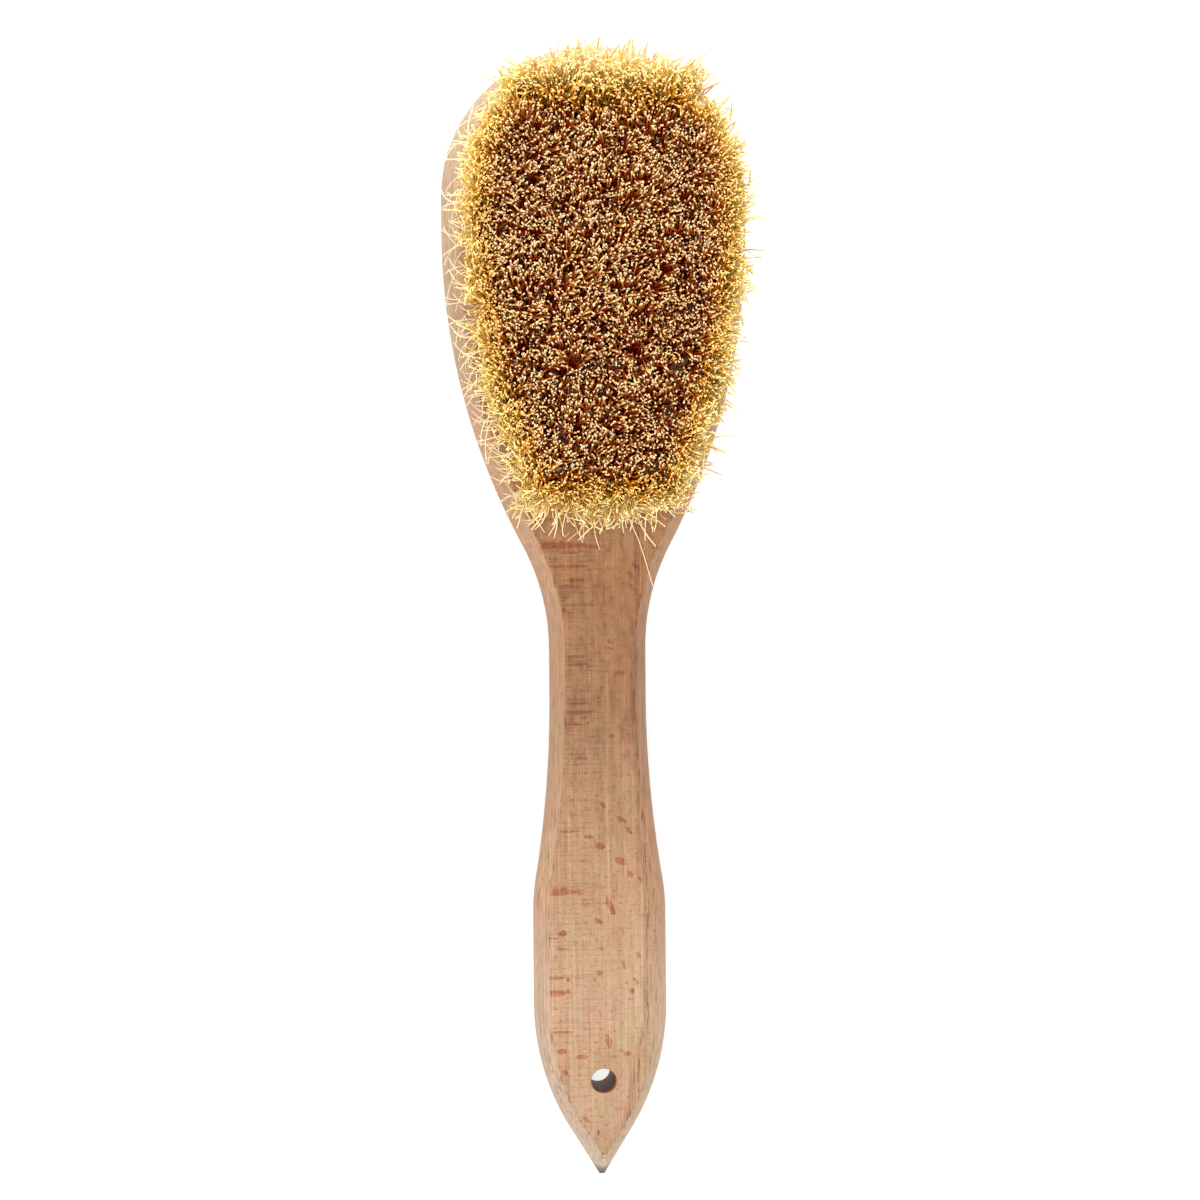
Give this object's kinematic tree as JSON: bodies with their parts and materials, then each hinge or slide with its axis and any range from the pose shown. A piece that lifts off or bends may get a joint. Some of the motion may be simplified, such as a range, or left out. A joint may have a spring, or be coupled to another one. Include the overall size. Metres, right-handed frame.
{
  "type": "vegetable brush",
  "caption": "Handled vegetable brush: flat beech paddle with a pointed handle end, a hanging hole and a dense field of plant-fibre tufts.",
  "frame": {"origin": "middle of the outline's box on the flat back face, on the brush's mid-plane", "axes": "+X across the brush, +Y along the grain to the round crown of the head, +Z out of the drilled face to the bristle tips"},
  "size_m": [0.0676, 0.2498, 0.038],
  "materials": {
    "beech": "sanded, unvarnished, steamed quarter-sawn beech",
    "fibre": "undyed stiff plant fibre, trimmed",
    "anchor_wire": "flat drawn wire"
  },
  "bodies": {
    "root": {"beech_body": "beech", "tuft_row_01": "fibre", "tuft_row_02": "fibre", "tuft_row_03": "fibre", "tuft_row_04": "fibre", "tuft_row_05": "fibre", "tuft_row_06": "fibre", "tuft_row_07": "fibre", "tuft_row_08": "fibre", "tuft_row_09": "fibre", "tuft_row_10": "fibre", "tuft_row_11": "fibre", "tuft_row_12": "fibre", "tuft_row_13": "fibre", "tuft_row_14": "fibre", "tuft_row_15": "fibre", "anchor_row_01": "anchor_wire", "anchor_row_02": "anchor_wire", "anchor_row_03": "anchor_wire", "anchor_row_04": "anchor_wire", "anchor_row_05": "anchor_wire", "anchor_row_06": "anchor_wire", "anchor_row_07": "anchor_wire", "anchor_row_08": "anchor_wire", "anchor_row_09": "anchor_wire", "anchor_row_10": "anchor_wire", "anchor_row_11": "anchor_wire", "anchor_row_12": "anchor_wire", "anchor_row_13": "anchor_wire", "anchor_row_14": "anchor_wire", "anchor_row_15": "anchor_wire"}
  },
  "joints": []
}
